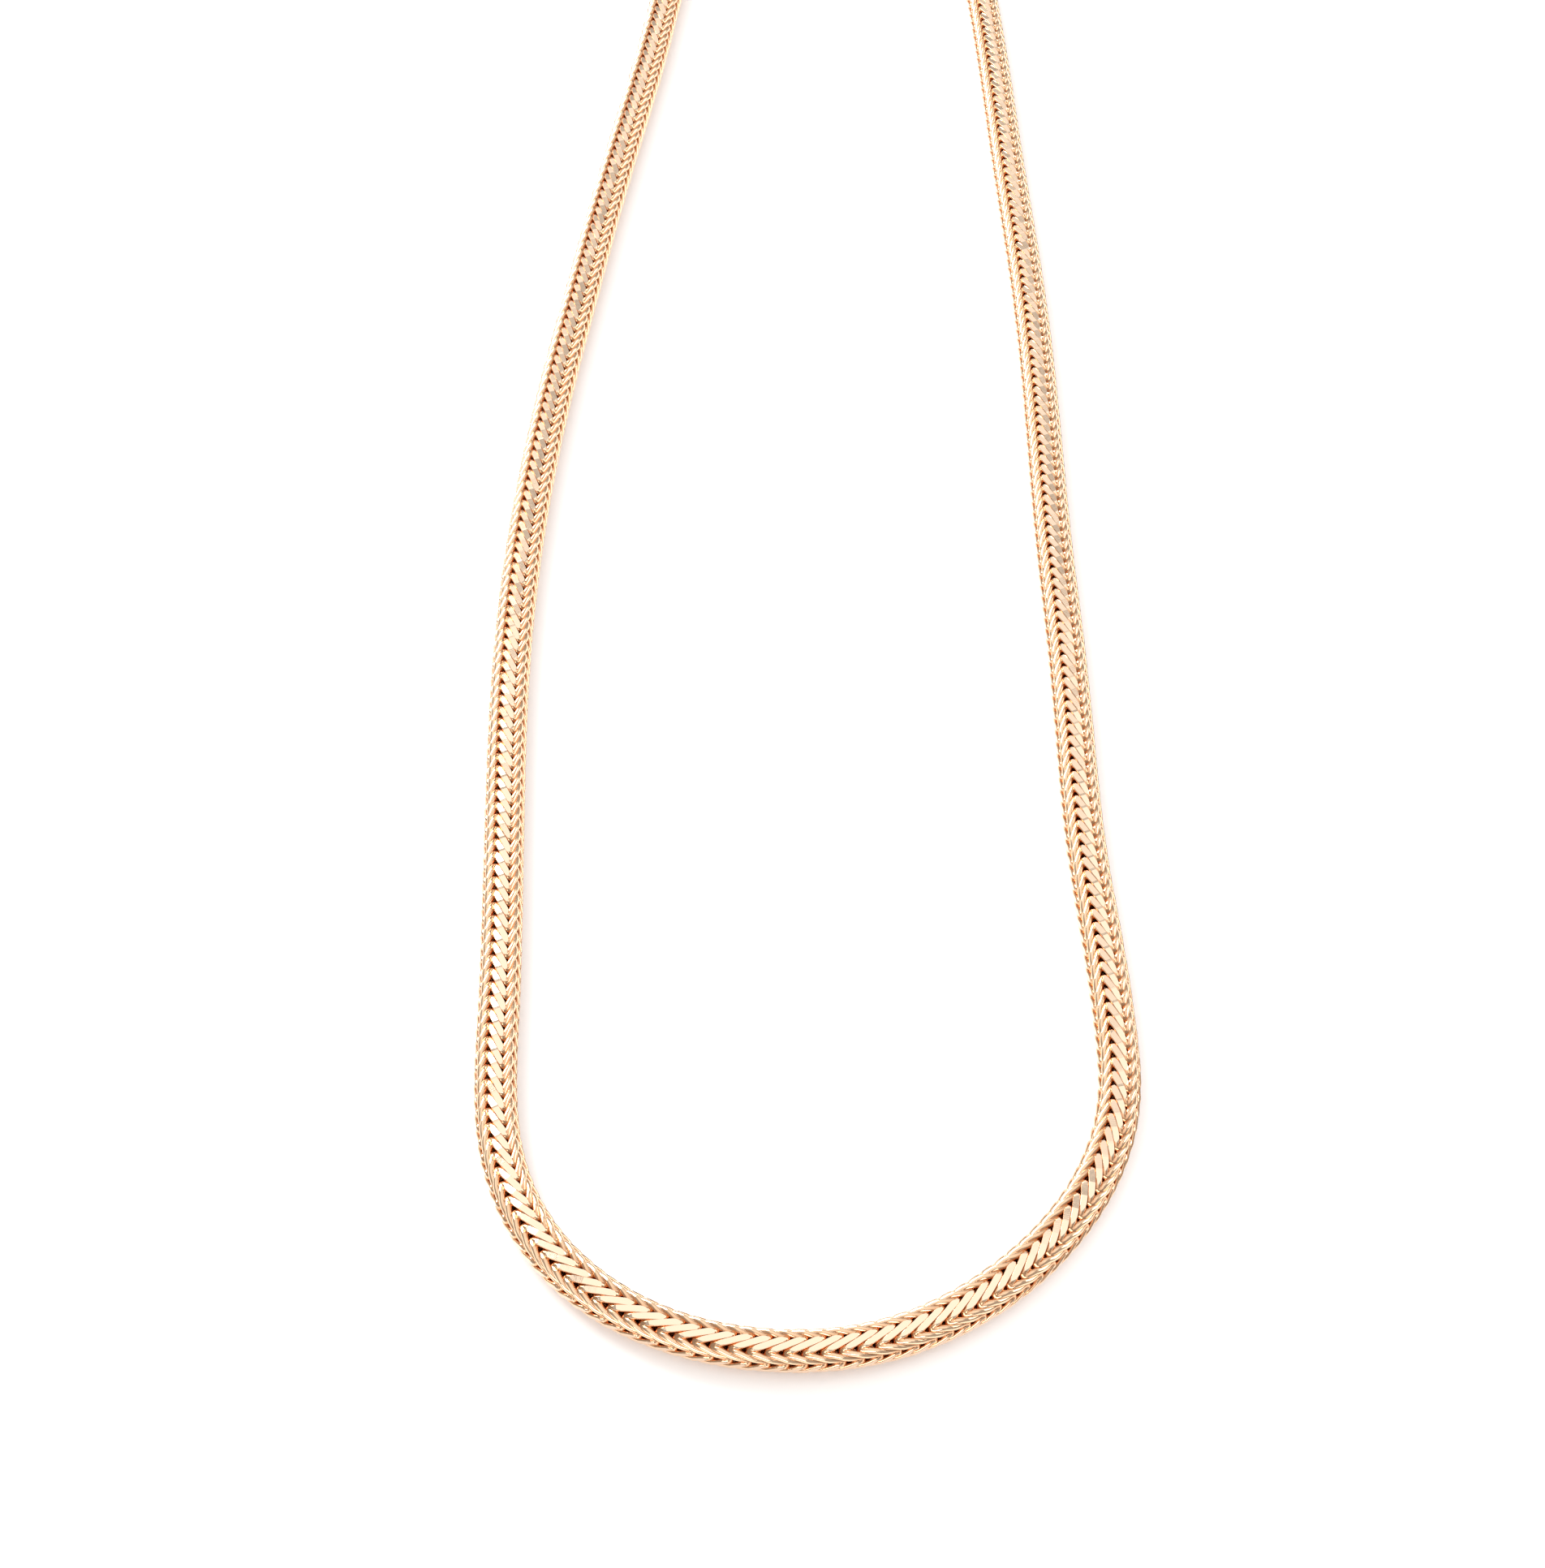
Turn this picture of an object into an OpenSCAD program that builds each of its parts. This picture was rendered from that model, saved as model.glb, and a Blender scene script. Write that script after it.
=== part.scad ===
// Woven chain necklace, closed by a plain barrel clasp, lying as a long narrow loop.
// Millimetres, +Z up, origin on the resting surface under the middle of the loop.

/* [Chain] */
// Width and height of the chain, over its planed corners
chain_w = 4; // [3:0.1:4.5]
// Width of the flat planed along each corner
corner_flat = 1.6; // [0.8:0.1:2]
// Number of sections along the chain
sections = 78; // [60:1:80]

/* [Clasp] */
// Length of the barrel
clasp_l = 14; // [12:0.5:18]
// Wall of the cup at each end
cup_wall = 0.45; // [0.4:0.05:0.8]
// How far the middle of the barrel swells past its cups
clasp_swell = 0.25; // [0.1:0.05:0.8]
// Radial play of the chain in its cup
cup_play = 0.15; // [0.1:0.05:0.25]
// Gap between the end of the chain and the bottom of its cup
end_gap = 0.2; // [0.1:0.1:0.5]
// Chamfer of the barrel's edges
clasp_chamfer = 0.2; // [0.1:0.05:0.3]
// Width and depth of the seam round the middle of the barrel
seam = 0.25; // [0.1:0.05:0.5]

/* [Hidden] */

rose_gold = [0.93, 0.72, 0.58];
pale_gold = [0.95, 0.78, 0.62];

half_w = chain_w / 2;
half_flat = corner_flat / 2;
bore_r = norm([half_w, half_flat]) + cup_play;
cup_r = bore_r + cup_wall;
cup_floor = 0.6;
clasp_r = cup_r + clasp_swell;
clasp_lift = clasp_r - half_w;

// Route of the chain's centreline, from the clasp down the left side, round the front and back up
// the right side. Columns: x, y, and the share of the lift that the clasp gives the chain's ends.
// The first and last three points lie on the clasp's axis, where the chain starts at the second
// point and stops at the last but one.
ROUTE = [
    [5, 111, 1], [0, 111, 1], [-5, 111, 1], [-9.5, 109.5, 0.7], [-13, 106.5, 0.3],
    [-15.5, 102, 0], [-16.5, 96.5, 0], [-17.5, 88.5, 0], [-19, 77, 0], [-21.5, 62, 0],
    [-24, 46, 0], [-26, 31, 0], [-28, 17, 0], [-29.5, 3.5, 0], [-30.5, -9.5, 0],
    [-31, -22.5, 0], [-31, -35.5, 0], [-30.5, -48.5, 0], [-30, -61, 0], [-29.5, -73, 0],
    [-29.5, -83, 0], [-28.5, -92, 0], [-25, -100, 0], [-19, -106.5, 0], [-11, -110.5, 0],
    [-2.5, -112, 0], [6, -111.5, 0], [14, -108.5, 0], [21.5, -103, 0], [27.5, -95.5, 0],
    [31, -86.5, 0], [31, -77, 0], [30.5, -66.5, 0], [29.5, -54.5, 0], [29.5, -41, 0],
    [29.5, -27, 0], [29, -12, 0], [29, 4, 0], [29, 20.5, 0], [28.5, 37, 0],
    [27.5, 54.5, 0], [27, 68.5, 0], [26.5, 80, 0], [26, 89, 0], [25.5, 96.5, 0],
    [24.5, 102, 0], [22, 106.5, 0.3], [18.5, 109.5, 0.7], [14, 111, 1], [9, 111, 1], [4, 111, 1],
];
spans = len(ROUTE) - 3;

// Section of the chain: a square set on its corner, with each corner planed flat.
SECTION = [
    for (corner = [0:3])
        for (side = [-1, 1])
            [
                half_w * cos(90 * corner) - side * half_flat * sin(90 * corner),
                half_w * sin(90 * corner) + side * half_flat * cos(90 * corner),
            ],
];
sides = len(SECTION);

// A route point in space: the chain rests on the surface, or is lifted towards the clasp's axis.
function control(i) =
    let (p = ROUTE[i])
    [p[0], p[1], half_w + p[2] * clasp_lift];

// Four weights applied to the four route points that shape span i.
function blend(i, w) =
    w[0] * control(i) + w[1] * control(i + 1) + w[2] * control(i + 2) + w[3] * control(i + 3);

// Weights of a uniform cubic B-spline and of its first derivative, at u from 0 to 1 in a span.
function place_weights(u) =
    [pow(1 - u, 3), 3 * pow(u, 3) - 6 * u * u + 4, -3 * pow(u, 3) + 3 * u * u + 3 * u + 1, pow(u, 3)] / 6;
function slope_weights(u) =
    [-pow(1 - u, 2), 3 * u * u - 4 * u, -3 * u * u + 2 * u + 1, u * u] / 2;

function unit(v) = v / norm(v);

// The section's points at share t of the route, level sideways and square to the route.
function ring(t) =
    let (
        along = t * spans,
        i = min(floor(along), spans - 1),
        centre = blend(i, place_weights(along - i)),
        forward = unit(blend(i, slope_weights(along - i))),
        sideways = unit(cross([0, 0, 1], forward)),
        upward = cross(forward, sideways)
    )
    [for (p = SECTION) centre + p[0] * sideways + p[1] * upward];

module chain() {
    points = [for (k = [0:sections - 1]) each ring(k / (sections - 1))];
    walls = [
        for (k = [0:sections - 2])
            for (j = [0:sides - 1])
                let (a = k * sides + j, b = k * sides + (j + 1) % sides)
                [a, a + sides, b + sides, b]
    ];
    first_cap = [for (j = [0:sides - 1]) j];
    last_cap = [for (j = [sides - 1:-1:0]) (sections - 1) * sides + j];
    color(rose_gold)
        polyhedron(points, concat(walls, [first_cap, last_cap]), convexity = 8);
}

// Barrel on the line through the chain's two ends, bored at each end for the chain.
module clasp() {
    first_end = ROUTE[1][0];
    last_end = ROUTE[len(ROUTE) - 2][0];
    half_l = clasp_l / 2;
    bore_depth = half_l - (last_end - first_end) / 2 + end_gap;
    cup_l = bore_depth + cup_floor;
    half_outline = [
        [0, 0],
        [clasp_r - seam, 0],
        [clasp_r - seam, seam / 2],
        [clasp_r, seam / 2 + clasp_chamfer],
        [clasp_r, half_l - cup_l - clasp_swell],
        [cup_r, half_l - cup_l],
        [cup_r, half_l - clasp_chamfer],
        [cup_r - clasp_chamfer, half_l],
        [bore_r, half_l],
        [bore_r, half_l - bore_depth],
        [0, half_l - bore_depth],
    ];
    color(pale_gold)
        translate([(first_end + last_end) / 2, ROUTE[1][1], clasp_r])
            rotate([0, 90, 0])
                for (end = [0, 1])
                    mirror([0, 0, end])
                        rotate_extrude($fn = 96) polygon(half_outline);
}

chain();
clasp();
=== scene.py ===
import math

import bpy
import numpy as np
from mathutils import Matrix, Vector


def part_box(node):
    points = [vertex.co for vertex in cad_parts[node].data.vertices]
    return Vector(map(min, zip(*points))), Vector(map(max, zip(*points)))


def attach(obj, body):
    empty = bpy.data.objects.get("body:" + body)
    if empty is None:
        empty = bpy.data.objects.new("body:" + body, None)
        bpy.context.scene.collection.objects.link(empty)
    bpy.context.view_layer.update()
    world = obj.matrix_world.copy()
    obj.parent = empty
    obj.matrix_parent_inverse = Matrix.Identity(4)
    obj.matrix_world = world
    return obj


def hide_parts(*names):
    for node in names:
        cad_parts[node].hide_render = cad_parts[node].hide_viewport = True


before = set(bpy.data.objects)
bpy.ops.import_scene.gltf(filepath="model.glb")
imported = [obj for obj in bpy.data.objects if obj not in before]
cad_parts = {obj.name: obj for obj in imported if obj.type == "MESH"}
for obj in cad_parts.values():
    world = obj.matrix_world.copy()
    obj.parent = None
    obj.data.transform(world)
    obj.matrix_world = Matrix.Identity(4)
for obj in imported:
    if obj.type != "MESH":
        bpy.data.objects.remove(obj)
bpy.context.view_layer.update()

# Line of the chain. The necklace lies on a table as a long narrow loop: from the clasp at the
# back down the left side, round the front and back up the right side, as one smooth curve.
# Columns: x, y in metres, and the share of the lift that the clasp gives the chain's ends.
route = np.array([
    (0.005, 0.111, 1), (0, 0.111, 1), (-0.005, 0.111, 1), (-0.0095, 0.1095, 0.7),
    (-0.013, 0.1065, 0.3), (-0.0155, 0.102, 0), (-0.0165, 0.0965, 0), (-0.0175, 0.0885, 0),
    (-0.019, 0.077, 0), (-0.0215, 0.062, 0), (-0.024, 0.046, 0), (-0.026, 0.031, 0),
    (-0.028, 0.017, 0), (-0.0295, 0.0035, 0), (-0.0305, -0.0095, 0), (-0.031, -0.0225, 0),
    (-0.031, -0.0355, 0), (-0.0305, -0.0485, 0), (-0.03, -0.061, 0), (-0.0295, -0.073, 0),
    (-0.0295, -0.083, 0), (-0.0285, -0.092, 0), (-0.025, -0.1, 0), (-0.019, -0.1065, 0),
    (-0.011, -0.1105, 0), (-0.0025, -0.112, 0), (0.006, -0.1115, 0), (0.014, -0.1085, 0),
    (0.0215, -0.103, 0), (0.0275, -0.0955, 0), (0.031, -0.0865, 0), (0.031, -0.077, 0),
    (0.0305, -0.0665, 0), (0.0295, -0.0545, 0), (0.0295, -0.041, 0), (0.0295, -0.027, 0),
    (0.029, -0.012, 0), (0.029, 0.004, 0), (0.029, 0.0205, 0), (0.0285, 0.037, 0),
    (0.0275, 0.0545, 0), (0.027, 0.0685, 0), (0.0265, 0.08, 0), (0.026, 0.089, 0),
    (0.0255, 0.0965, 0), (0.0245, 0.102, 0), (0.022, 0.1065, 0.3), (0.0185, 0.1095, 0.7),
    (0.014, 0.111, 1), (0.009, 0.111, 1), (0.004, 0.111, 1),
])
samples_per_span = 24


def smooth_line(points):
    """Uniform cubic B-spline: each stretch blends four neighbouring points with the weights
    (1-u)^3, 3u^3-6u^2+4, -3u^3+3u^2+3u+1 and u^3, all over 6, as u goes from 0 to 1."""
    spans = len(points) - 3
    share = np.linspace(0, spans, spans * samples_per_span + 1)
    first = np.minimum(share.astype(int), spans - 1)
    u = (share - first)[:, None]
    weights = ((1 - u) ** 3, 3 * u**3 - 6 * u**2 + 4, -3 * u**3 + 3 * u**2 + 3 * u + 1, u**3)
    return sum(w * points[first + k] for k, w in enumerate(weights)) / 6


def unit(vectors):
    """Each vector over its own length."""
    return vectors / np.linalg.norm(vectors, axis=-1, keepdims=True)


line = smooth_line(route)
line_share = line[:, 2]
steps = np.linalg.norm(np.diff(line[:, :2], axis=0), axis=1)
line_s = np.concatenate([[0.0], np.cumsum(steps)])
line_length = line_s[-1]
heading = unit(np.gradient(line[:, :2], line_s, axis=0))

# Links. Each link is a closed ring of rose gold wire, bent into a crown with four arches that
# point along the chain and four troughs between them, and the next link sits in it one pitch
# further on. The eight legs make an eight-sided chain. Every second leg is planed bright, and the
# legs between, here called strands, stay round.
pitch = 0.00163
arches = 4
sector = math.pi / arches
crown_half_length = 0.0015
leg_radius = 0.00171

# The wire is deeper than it is wide, which closes the gaps between the legs, and spreads at the
# bends. Each spread is a share of its width there, and the higher the power, the shorter it is.
wire_r = 0.00031
wire_depth = 1.35
arch_spread = 0.45
trough_spread = 0.7
spread_power = 10

# Departures of the wire from an even crown: the bends dip towards the chain's axis, the planed
# legs stand a hair proud of the strands, and a weave takes the two halves of a leg in and out.
# The middles of the strands run more squarely across the chain than those of the planed legs, and
# the planed legs span more of the round.
arch_dip = 0.00028
trough_dip = 0.00032
dip_power = 6
leaf_rise = 0.00004
weave = -0.00005
weave_edge = 0.35
leaf_squareness = 0.03
strand_squareness = 0.13
leaf_widening = math.radians(3.5)

# Three planes cut each planed leg: one level with the chain and one tilted at each of its ends.
face_reach = 0.00194
facet_tilt = math.radians(6)
planing_error = math.radians(1.6)
ways_planed = 12

# The ring's steps, as angles before and after the middle of a leg, and the wire's steps round it,
# from one edge of the cut to the other. The cut takes flat_least to flat_most on each side of its
# middle, as an angle round the wire. The inner limits are cosines of the same angle.
leg_steps = np.radians([1.2, 6.8, 12, 15.8, 18.8, 21.3])
ring_steps = 4 * arches * len(leg_steps)
arc_steps = 8
flat_least = math.radians(20)
flat_most = math.radians(82)
inner_limits = (-0.1, 0.3)
tolerance = 1e-6


def smoothstep(low, high, x):
    """0 below low, 1 above high, and 3t^2 - 2t^3 between."""
    t = np.clip((x - low) / (high - low), 0, 1)
    return t * t * (3 - 2 * t)


def ring_angles():
    """Ring angles, 0 in the middle of an arch, from the first leg after it: the same steps before
    and after the middle of each leg."""
    middles = sector / 2 + sector * np.arange(2 * arches)
    offsets = np.concatenate([-leg_steps[::-1], leg_steps])
    return (middles[:, None] + offsets).ravel()


def turn_of(angle):
    """Direction from the chain's axis at a ring angle, 0 straight up: t + w sin(arches t) with t
    the angle past a planed leg's middle, so that the planed legs span more of the round."""
    past = angle + sector / 2
    return past + leaf_widening * np.sin(arches * past)


def ring_line(angle):
    """Wire's centreline, with b the angle times arches. Its distance from the chain's axis is the
    leg's, less a dip at the arches (cos^2n of b/2) and one at the troughs (sin^2n of b/2), plus a
    weave (sin 2b + e sin 4b), less a rise (sin b, which is -1 on a planed leg). Along the axis it
    goes as (cos b + k cos 3b) / (1 + k), where the squareness k is small on the planed legs and
    larger on the strands. Columns: along, left, up."""
    radius = (
        leg_radius
        - arch_dip * np.cos(arches / 2 * angle) ** (2 * dip_power)
        - trough_dip * np.sin(arches / 2 * angle) ** (2 * dip_power)
        + weave * (np.sin(2 * arches * angle) + weave_edge * np.sin(4 * arches * angle))
        - leaf_rise * np.sin(arches * angle)
    )
    strand_share = (1 + np.sin(arches * angle)) / 2
    squareness = leaf_squareness + (strand_squareness - leaf_squareness) * strand_share
    wave = np.cos(arches * angle) + squareness * np.cos(3 * arches * angle)
    along = crown_half_length * wave / (1 + squareness)
    turn = turn_of(angle)
    return np.stack([along, radius * np.sin(turn), radius * np.cos(turn)], axis=1)


def ring_surface(nod, lean):
    """Skin of one ring. Each step's section is an ellipse: centre + T cos b outward + W sin b
    sideways. It stands square to the wire in the middle of a leg and square to the chain at the
    bends, and W is the wire's half-width over the cosine of that skew, spread at the bends. On
    every second leg three planes meet at two creases square to the leg, and what reaches past
    them is cut off: with n the plane's normal and d its distance from the centre, the cut goes
    round to the angle arccos(d / R) on both sides of atan2(n.sideways W, n.outward T), where R is
    the hypotenuse of the two. The planes are off by the angles nod along the leg and lean across
    it. Returns points (ring_steps, arc_steps + 1, 3), which steps are planed, and how far each
    point lies on the wire's inner half: 1 where cos b is under the lower of the inner limits, 0
    over the upper one."""
    angle = ring_angles()
    centre = ring_line(angle)
    fine = 1e-4  # small step in angle, for slopes
    tangent = unit(ring_line(angle + fine) - ring_line(angle - fine))
    turn = turn_of(angle)
    leg = np.round((angle + sector / 2) / sector)
    off_leg = angle + sector / 2 - leg * sector
    on_leaf = leg % 2 == 0
    corner = leg * sector
    zero, one = np.zeros_like(turn), np.ones_like(turn)
    ahead = np.stack([one, zero, zero], axis=1)
    radial = np.stack([zero, np.sin(turn), np.cos(turn)], axis=1)
    lateral = np.stack([zero, np.cos(turn), -np.sin(turn)], axis=1)
    corner_up = np.stack([zero, np.sin(corner), np.cos(corner)], axis=1)
    corner_left = np.stack([zero, np.cos(corner), -np.sin(corner)], axis=1)
    before, after = ring_line(np.array([-fine, fine]) + sector / 2)
    strand_rise = math.hypot(after[1] - before[1], after[2] - before[2])
    strand_skew = math.atan2(before[0] - after[0], strand_rise)
    before, after = ring_line(np.array([-fine, fine]) - sector / 2)
    run, rise = after[0] - before[0], after[1] - before[1]
    leg_length = math.hypot(run, rise)
    leg_way = (run * ahead + rise * corner_left) / leg_length
    across = (rise * ahead - run * corner_left) / leg_length
    crease = leg_length / (2 * fine) * leg_steps[0]

    face_up = unit(corner_up + nod * leg_way + lean * across)
    face_way = unit(leg_way - nod * corner_up)
    side = np.sign(off_leg) * (np.abs(off_leg) > leg_steps[0] + tolerance)
    tilt = facet_tilt * np.abs(side)
    plane = np.cos(tilt)[:, None] * face_up + (side * np.sin(tilt))[:, None] * face_way
    on_plane = face_reach * corner_up + (side * crease)[:, None] * face_way

    skew = np.where(on_leaf, math.atan2(run, rise), -strand_skew)
    skew = skew * (1 - (off_leg / (sector / 2)) ** 2)
    square = np.cos(skew)[:, None] * lateral + np.sin(skew)[:, None] * ahead
    outward = unit(radial - np.sum(radial * square, axis=1)[:, None] * square)
    sideways = np.cross(square, outward)
    width_way = unit(np.cross(tangent, radial))
    spread = (
        1
        + arch_spread * np.cos(arches / 2 * angle) ** (2 * spread_power)
        + trough_spread * np.sin(arches / 2 * angle) ** (2 * spread_power)
    )
    half_wide = spread * wire_r / np.abs(np.sum(sideways * width_way, axis=1))
    half_deep = wire_r * wire_depth

    cut_out = np.sum(plane * outward, axis=1) * half_deep
    cut_side = np.sum(plane * sideways, axis=1) * half_wide
    distance = np.sum(plane * (on_plane - centre), axis=1)
    half_cut = np.arccos(
        np.clip(distance / np.hypot(cut_out, cut_side), math.cos(flat_most), math.cos(flat_least))
    )
    half_cut = np.where(on_leaf, half_cut, flat_least)
    planed = half_cut > flat_least + tolerance
    cut_middle = np.where(planed, np.arctan2(cut_side, cut_out), 0.0)
    around = half_cut[:, None] + np.linspace(0, 1, arc_steps + 1) * (
        2 * math.pi - 2 * half_cut[:, None]
    )
    around = around + cut_middle[:, None]
    points = (
        centre[:, None]
        + (half_deep * np.cos(around))[..., None] * outward[:, None]
        + (half_wide[:, None] * np.sin(around))[..., None] * sideways[:, None]
    )
    inner = 1 - smoothstep(*inner_limits, np.cos(around))
    return points, planed, inner


# The planing tool didn't meet every link alike, so the planes are off by a degree or so.
luck = np.random.default_rng(11)
errors = luck.uniform(-planing_error, planing_error, (ways_planed, 2))
rings = [ring_surface(nod, lean) for nod, lean in errors]
ring_points = np.stack([points for points, planed, inner in rings])
ring_planed = np.stack([planed for points, planed, inner in rings])
ring_inner = np.stack([inner for points, planed, inner in rings])

# Lie of the chain. The two sides lie on a planed face, and round the front the chain is pulled
# narrower and rolls outwards. Each link touches the table, so the centreline's height is the
# section's reach downwards there. In the clasp the chain is narrow enough for the bore. The two
# limits of each change are shares: of the heading to the right, and of the clasp's lift.
front_roll = math.radians(11)
roll_limits = (0.05, 0.85)
side_swell = 1.08
front_swell = 1.0
front_limits = (0.75, 1)
clasp_swell = 0.96
clasp_limits = (0, 0.9)
roll = front_roll * smoothstep(*roll_limits, heading[:, 0])
swell = side_swell + (front_swell - side_swell) * smoothstep(*front_limits, heading[:, 0])
swell = swell + (clasp_swell - swell) * smoothstep(*clasp_limits, line_share)


def reach_at(turn):
    """How far the first ring's points reach from the chain's axis, at angles from straight up."""
    flat = ring_points[0].reshape(-1, 3)
    return np.max(np.outer(np.sin(turn), flat[:, 1]) + np.outer(np.cos(turn), flat[:, 2]), axis=1)


clasp_low, clasp_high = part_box("clasp")
clasp_axis = (clasp_low.z + clasp_high.z) / 2
line_up = np.stack([np.zeros_like(roll), np.zeros_like(roll), np.ones_like(roll)], axis=1)
line_forward = np.concatenate([heading, np.zeros((len(heading), 1))], axis=1)
line_left = np.cross(line_up, line_forward)
rest_height = swell * reach_at(math.pi + roll)
height = rest_height + line_share * (clasp_axis - rest_height)
centre_line = np.stack([line[:, 0], line[:, 1], height], axis=1)

link_count = int((line_length - 2 * (crown_half_length + wire_r)) / pitch) + 1
first_link = (line_length - (link_count - 1) * pitch) / 2
way_of_link = luck.integers(0, ways_planed, link_count)


def laid_links(numbers):
    """Rings carried along the line: a point's distance along the ring is added to the link's
    place on the line, and its left and up go along the line's own, swelled and turned by the
    roll there."""
    ring = ring_points[way_of_link[numbers]]
    along = ring[..., 0] + (first_link + numbers * pitch)[:, None, None]
    size = np.interp(along, line_s, swell)
    left, up = size * ring[..., 1], size * ring[..., 2]

    def at(values):
        """Vectors of the line, read at each point's distance along it."""
        return np.stack([np.interp(along, line_s, values[:, k]) for k in range(3)], axis=-1)

    turn = np.interp(along, line_s, roll)
    level = left * np.cos(turn) - up * np.sin(turn)
    rise = left * np.sin(turn) + up * np.cos(turn)
    return at(centre_line) + level[..., None] * unit(at(line_left)) + rise[..., None] * line_up[0]


def ring_faces():
    """Quads between neighbouring steps, closed both ways, facing outwards. The chord's quad is
    the last of each step."""
    i, j = np.meshgrid(np.arange(ring_steps), np.arange(arc_steps + 1), indexing="ij")
    i2, j2 = (i + 1) % ring_steps, (j + 1) % (arc_steps + 1)
    width = arc_steps + 1
    return np.stack([i * width + j, i2 * width + j, i2 * width + j2, i * width + j2], axis=-1)


faces_of_ring = ring_faces()
flat_of_ring = np.zeros((ways_planed, *faces_of_ring.shape[:2]), bool)
flat_of_ring[:, :, arc_steps] = ring_planed | np.roll(ring_planed, -1, axis=1)

# Place of each corner on the wire, for the material: millimetres along the wire, and round it.
wire_centre = ring_points[0].mean(axis=1)
wire_step = np.linalg.norm(np.roll(wire_centre, -1, axis=0) - wire_centre, axis=1)
wire_mm = 1000 * np.concatenate([[0.0], np.cumsum(wire_step)])
step_end = np.arange(ring_steps)[:, None] + np.array([0, 1, 1, 0])
round_end = np.arange(arc_steps + 1)[:, None] + np.array([0, 0, 1, 1])
wire_uv = np.stack(
    np.broadcast_arrays(wire_mm[step_end][:, None], (round_end / (arc_steps + 1))[None]), axis=-1
)

# Painted shade: how deep each point lies between the wires, which darkens its colour: 1 nearer the
# chain's axis than the lower radius, 0 past the upper one, and at least the inner share set below
# on the wire's inner half, which faces inwards, away from the light.
shade_radii = (0.00162, 0.00206)
inner_shade = 0.95
radius_of_point = np.linalg.norm(ring_points[..., 1:], axis=-1)
shade_of_ring = 1 - smoothstep(*shade_radii, radius_of_point)
shade_of_ring = np.maximum(shade_of_ring, inner_shade * ring_inner)

# Millimetres that the pattern along the wire moves on from one link to the next.
pattern_shift = 3.7


def link_piece(name, numbers):
    """One mesh of several links: the ring's quads, repeated with shifted point numbers."""
    points = laid_links(numbers).reshape(-1, 3)
    size = ring_steps * (arc_steps + 1)
    quads = faces_of_ring.reshape(1, -1, 4) + (np.arange(len(numbers)) * size)[:, None, None]
    quads = quads.reshape(-1, 4)
    mesh = bpy.data.meshes.new(name)
    mesh.vertices.add(len(points))
    mesh.vertices.foreach_set("co", points.astype(np.float32).ravel())
    mesh.loops.add(quads.size)
    mesh.loops.foreach_set("vertex_index", quads.astype(np.int32).ravel())
    mesh.polygons.add(len(quads))
    mesh.polygons.foreach_set("loop_start", np.arange(0, quads.size, 4, dtype=np.int32))
    mesh.polygons.foreach_set("loop_total", np.full(len(quads), 4, np.int32))
    flat = flat_of_ring[way_of_link[numbers]].ravel()
    mesh.polygons.foreach_set("use_smooth", ~flat)
    planed = mesh.attributes.new("planed", "FLOAT", "FACE")
    planed.data.foreach_set("value", flat.astype(np.float32))
    wire_map = mesh.uv_layers.new(name="wire")
    shift = (numbers * pattern_shift)[:, None, None, None, None] * np.array([1.0, 0.0])
    wire_map.data.foreach_set("uv", (wire_uv[None] + shift).astype(np.float32).ravel())
    # Painted shade of each point: darkest between the wires and on each wire's inner half.
    painted_shade = mesh.attributes.new("painted_shade", "FLOAT", "POINT")
    painted_shade.data.foreach_set("value", shade_of_ring[way_of_link[numbers]].astype(np.float32).ravel())
    mesh.update(calc_edges=True)
    mesh.validate()
    piece = bpy.data.objects.new(name, mesh)
    bpy.context.scene.collection.objects.link(piece)
    return piece


class Socket:
    """One output in a shader tree. Arithmetic on it adds a Math node and gives its output."""

    def __init__(self, tree, output=None):
        self.tree = tree
        self.output = output

    def node(self, kind, settings=None, values=None, output=0):
        """A new node: its settings first, then its inputs, each a number, a colour or a Socket."""
        made = self.tree.nodes.new(kind)
        for name, setting in (settings or {}).items():
            setattr(made, name, setting)
        for name, value in (values or {}).items():
            self.feed(made.inputs[name], value)
        return Socket(self.tree, made.outputs[output])

    def feed(self, socket, value):
        """A Socket is linked to the input, and a number or colour is set on it."""
        if isinstance(value, Socket):
            self.tree.links.new(value.output, socket)
        else:
            socket.default_value = value

    def math(self, operation, first, second=0.0):
        return self.node("ShaderNodeMath", {"operation": operation}, {0: first, 1: second})

    def __add__(self, other):
        return self.math("ADD", self, other)

    def __sub__(self, other):
        return self.math("SUBTRACT", self, other)

    def __rsub__(self, other):
        return self.math("SUBTRACT", other, self)

    def __mul__(self, other):
        return self.math("MULTIPLY", self, other)

    __radd__ = __add__
    __rmul__ = __mul__


def mixed(factor, first, second):
    """Colour between two, by a factor from 0 to 1."""
    values = {0: factor, 6: first, 7: second}
    return factor.node("ShaderNodeMix", {"data_type": "RGBA"}, values, 2)


roughness_floor = 0.6
roughness_range = 0.8


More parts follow.
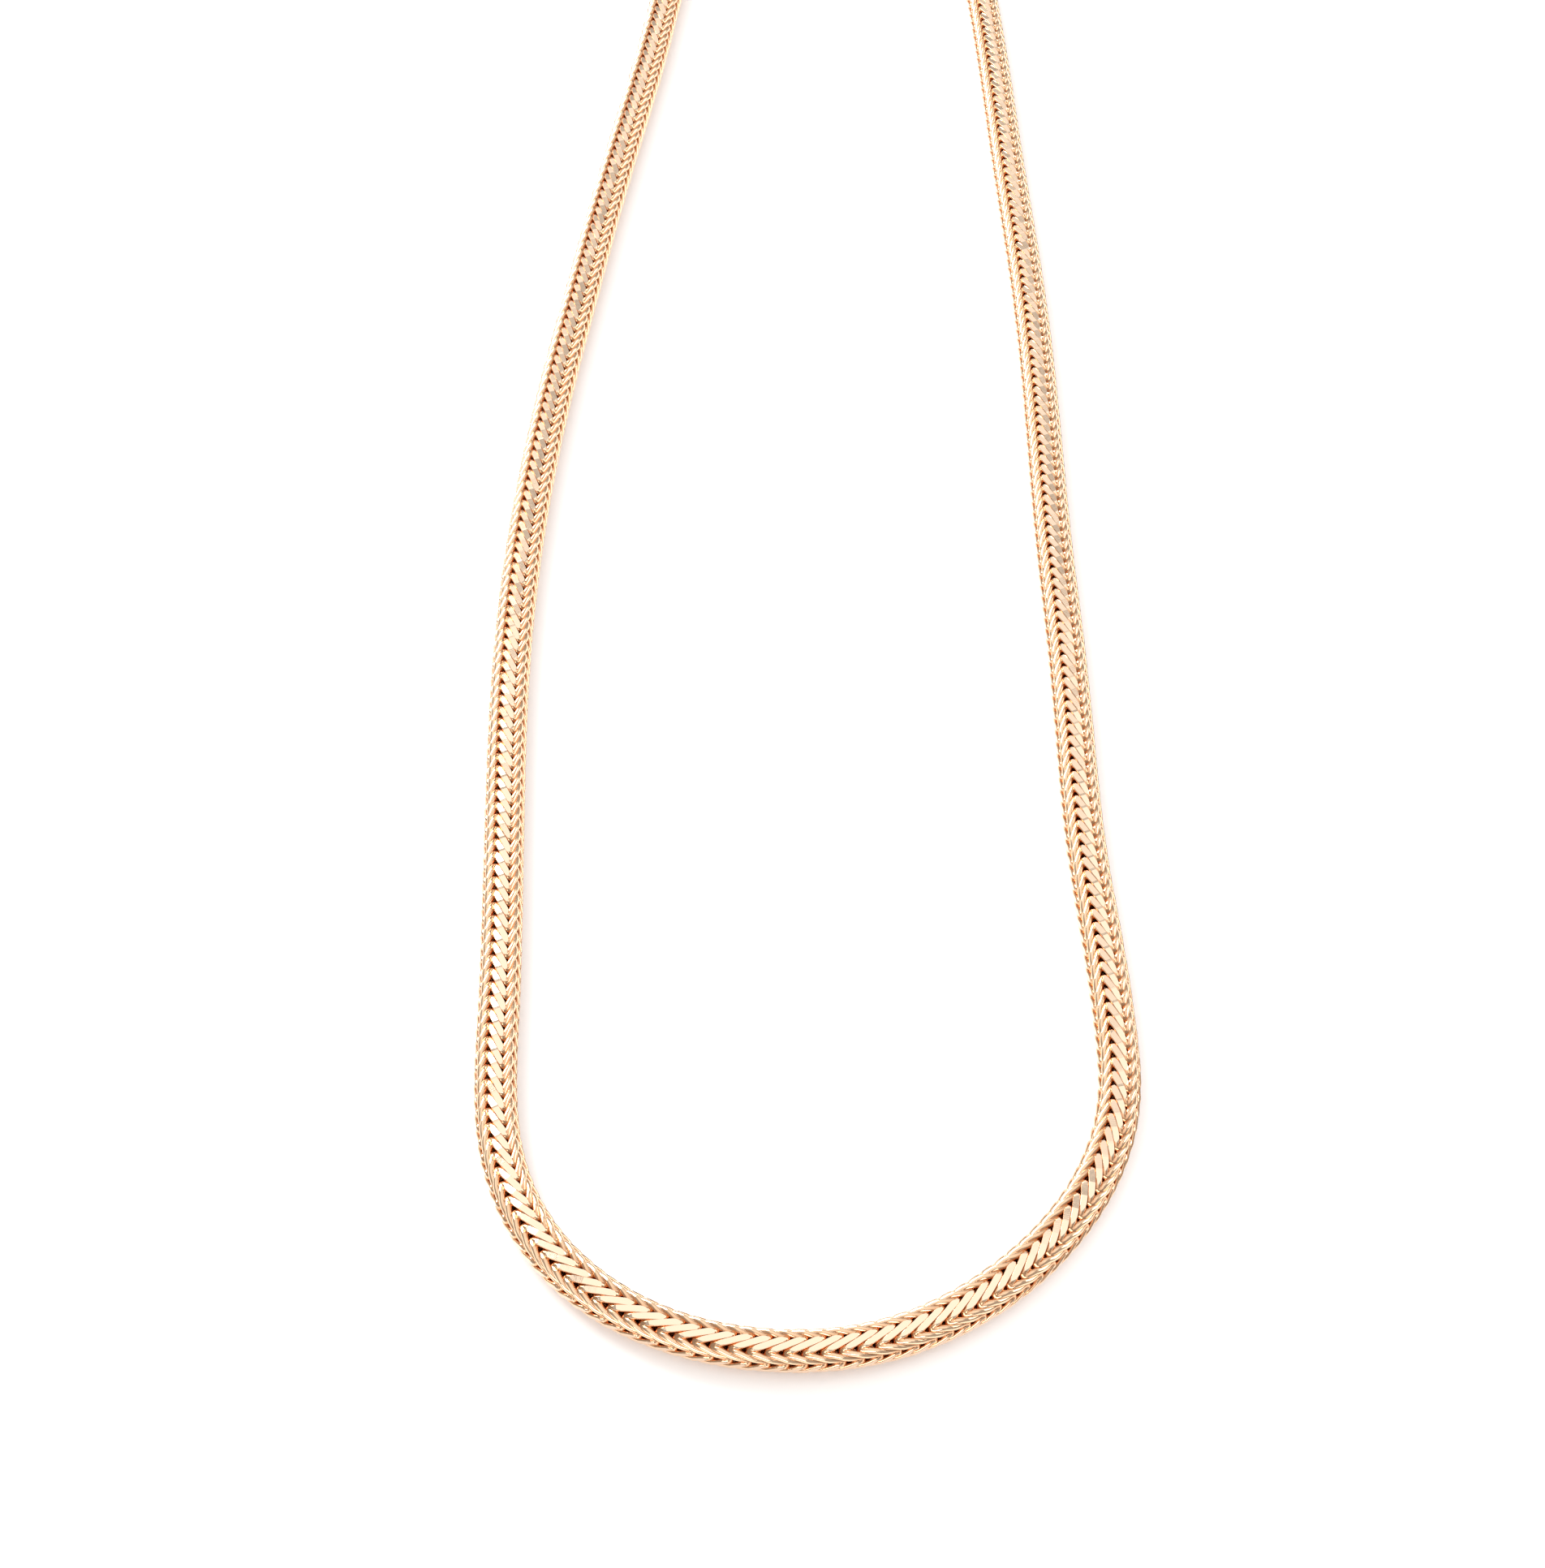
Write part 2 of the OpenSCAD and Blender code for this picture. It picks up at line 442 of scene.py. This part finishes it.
def plated_metal(name, bright, deep, roughness):
    """Rose gold plate: its tone drifts between two colours over a few millimetres, and its
    roughness is uneven over a fraction of one: the given one times roughness_floor plus
    roughness_range times the noise. Returns the material, its shader and three sockets: the
    object coordinates, the tone and the fine unevenness."""
    material = bpy.data.materials.new(name)
    material.use_nodes = True
    tree = material.node_tree
    skin = tree.nodes["Principled BSDF"]
    skin.inputs["Metallic"].default_value = 1.0
    skin.inputs["IOR"].default_value = 1.45
    place = Socket(tree).node("ShaderNodeTexCoord", output="Object")
    drift = place.node("ShaderNodeTexNoise", values={"Vector": place, "Scale": 260, "Detail": 2})
    uneven = place.node("ShaderNodeTexNoise", values={"Vector": place, "Scale": 3200, "Detail": 3})
    tone = mixed(drift, deep, bright)
    place.feed(skin.inputs["Base Color"], tone)
    rough = roughness * roughness_floor + uneven * (roughness * roughness_range)
    place.feed(skin.inputs["Roughness"], rough)
    return material, skin, place, tone, uneven


chain_metal, chain_skin, chain_place, chain_tone, chain_uneven = plated_metal(
    "rose_gold_wire", (0.96, 0.70, 0.48, 1), (0.90, 0.59, 0.37, 1), 0.15
)

# Planed faces are a little paler, and carry the tool's chatter across them in places: fine ridges
# square to the wire. The rest of the wire has small dents, and painted shade makes it redder and
# darker the deeper it lies between the wires and on its inner half. Heights are in metres, and the
# ridges' pitch is in millimetres along the wire.
ridge_pitch = 0.19
ridge_height = 0.6e-6
dent_height = 4e-6
planed_part = chain_place.node(
    "ShaderNodeAttribute", {"attribute_name": "planed"}, output="Fac"
)
# Painted shade: a deep red-brown is mixed in where the wire lies deep or faces inwards, but not on
# planed faces.
painted_shade = chain_place.node("ShaderNodeAttribute", {"attribute_name": "painted_shade"}, output="Fac")
open_tone = mixed(planed_part, chain_tone, (0.98, 0.74, 0.54, 1))
painted_shade_share = painted_shade * (1 - planed_part)
chain_tone_with_shade = mixed(painted_shade_share, open_tone, (0.62, 0.29, 0.13, 1))
chain_place.feed(chain_skin.inputs["Base Color"], chain_tone_with_shade)
wire_place = chain_place.node("ShaderNodeUVMap", {"uv_map": "wire"})
wire_split = chain_place.node("ShaderNodeSeparateXYZ", values={0: wire_place})
ridges = chain_place.math("SINE", wire_split * (2 * math.pi / ridge_pitch))
patches = chain_place.node(
    "ShaderNodeTexNoise", values={"Vector": chain_place, "Scale": 700, "Detail": 1}
)
chatter = ridges * planed_part * patches
dents = chain_uneven * (1 - planed_part)
relief = chatter * ridge_height + dents * dent_height
bump = chain_place.node("ShaderNodeBump", values={"Height": relief, "Strength": 1, "Distance": 1})
chain_place.feed(chain_skin.inputs["Normal"], bump)

numbers = np.arange(link_count)
stretches = ("chain_left", "chain_front", "chain_right")
for name, part in zip(stretches, np.array_split(numbers, len(stretches))):
    piece = link_piece(name, part)
    piece.data.materials.append(chain_metal)
    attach(piece, "root")
    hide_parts("chain")

# Clasp. A barrel turned from brass and plated like the chain, that takes both of its ends. The
# photo doesn't show the real one. The CAD solid is kept as it is, and only gets its metal here.
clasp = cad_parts["clasp"]
clasp.data.materials.clear()
clasp_metal, *_ = plated_metal(
    "rose_gold_clasp", (0.98, 0.77, 0.57, 1), (0.96, 0.70, 0.48, 1), 0.14
)
clasp.data.materials.append(clasp_metal)

# Table, light and camera. A plain white table with a faint glow of its own, which lifts it to the
# near pure white of the picture, then large soft lights, and the camera of the picture.
table_half = 1.5
table = bpy.data.meshes.new("table")
corners = [(-table_half, -table_half, 0), (table_half, -table_half, 0),
           (table_half, table_half, 0), (-table_half, table_half, 0)]
table.from_pydata(corners, [], [(0, 1, 2, 3)])
table_top = bpy.data.objects.new("table", table)
bpy.context.scene.collection.objects.link(table_top)
board = bpy.data.materials.new("white_board")
board.use_nodes = True
board_skin = board.node_tree.nodes["Principled BSDF"]
board_skin.inputs["Roughness"].default_value = 0.9
board_skin.inputs["Emission Color"].default_value = (1, 1, 1, 1)
board_skin.inputs["Emission Strength"].default_value = 0.08
board_place = Socket(board.node_tree).node("ShaderNodeTexCoord", output="Object")
fibres = board_place.node(
    "ShaderNodeTexNoise", values={"Vector": board_place, "Scale": 900, "Detail": 4}
)
white = mixed(fibres, (0.93, 0.93, 0.93, 1), (0.95, 0.95, 0.95, 1))
board_place.feed(board_skin.inputs["Base Color"], white)
table.materials.append(board)


def soft_box(name, place, size, radiance):
    """Area light of that size at a place, facing the middle of the loop. It looks as bright as
    a white sheet times the radiance: the power is pi times the area times it."""
    lamp = bpy.data.lights.new(name, "AREA")
    lamp.shape = "RECTANGLE"
    lamp.size, lamp.size_y = size
    lamp.energy = math.pi * size[0] * size[1] * radiance
    holder = bpy.data.objects.new(name, lamp)
    holder.location = place
    holder.rotation_mode = "QUATERNION"
    holder.rotation_quaternion = (-Vector(place)).to_track_quat("-Z", "Y")
    bpy.context.scene.collection.objects.link(holder)


soft_box("top_light", (0.0, 0.0, 1.0), (1.2, 1.2), 0.82)
soft_box("left_light", (-0.70, 0.82, 0.74), (0.9, 0.6), 12)
soft_box("right_light", (0.95, 0.35, 0.62), (0.8, 0.6), 3)
soft_box("front_light", (-0.2, -1.1, 0.75), (1.2, 0.4), 5)
soft_box("back_light", (0.12, 1.02, 0.82), (1.5, 0.6), 0.6)
world = bpy.data.worlds.new("room")
world.use_nodes = True
world.node_tree.nodes["Background"].inputs["Color"].default_value = (1, 1, 1, 1)
world.node_tree.nodes["Background"].inputs["Strength"].default_value = 0.45
bpy.context.scene.world = world
bpy.context.scene.view_settings.view_transform = "Standard"

aim = Vector((-0.0026, -0.04574, 0.002))
camera_distance = 0.2952
camera_rise = math.radians(50.67)
lens = bpy.data.cameras.new("camera")
lens.sensor_width = 36
lens.lens = 64.6
lens.clip_start = 0.01
camera = bpy.data.objects.new("camera", lens)
back = Vector((0, -math.cos(camera_rise), math.sin(camera_rise)))
camera.location = aim + camera_distance * back
camera.rotation_mode = "QUATERNION"
camera.rotation_quaternion = (-back).to_track_quat("-Z", "Y")
bpy.context.scene.collection.objects.link(camera)
bpy.context.scene.camera = camera
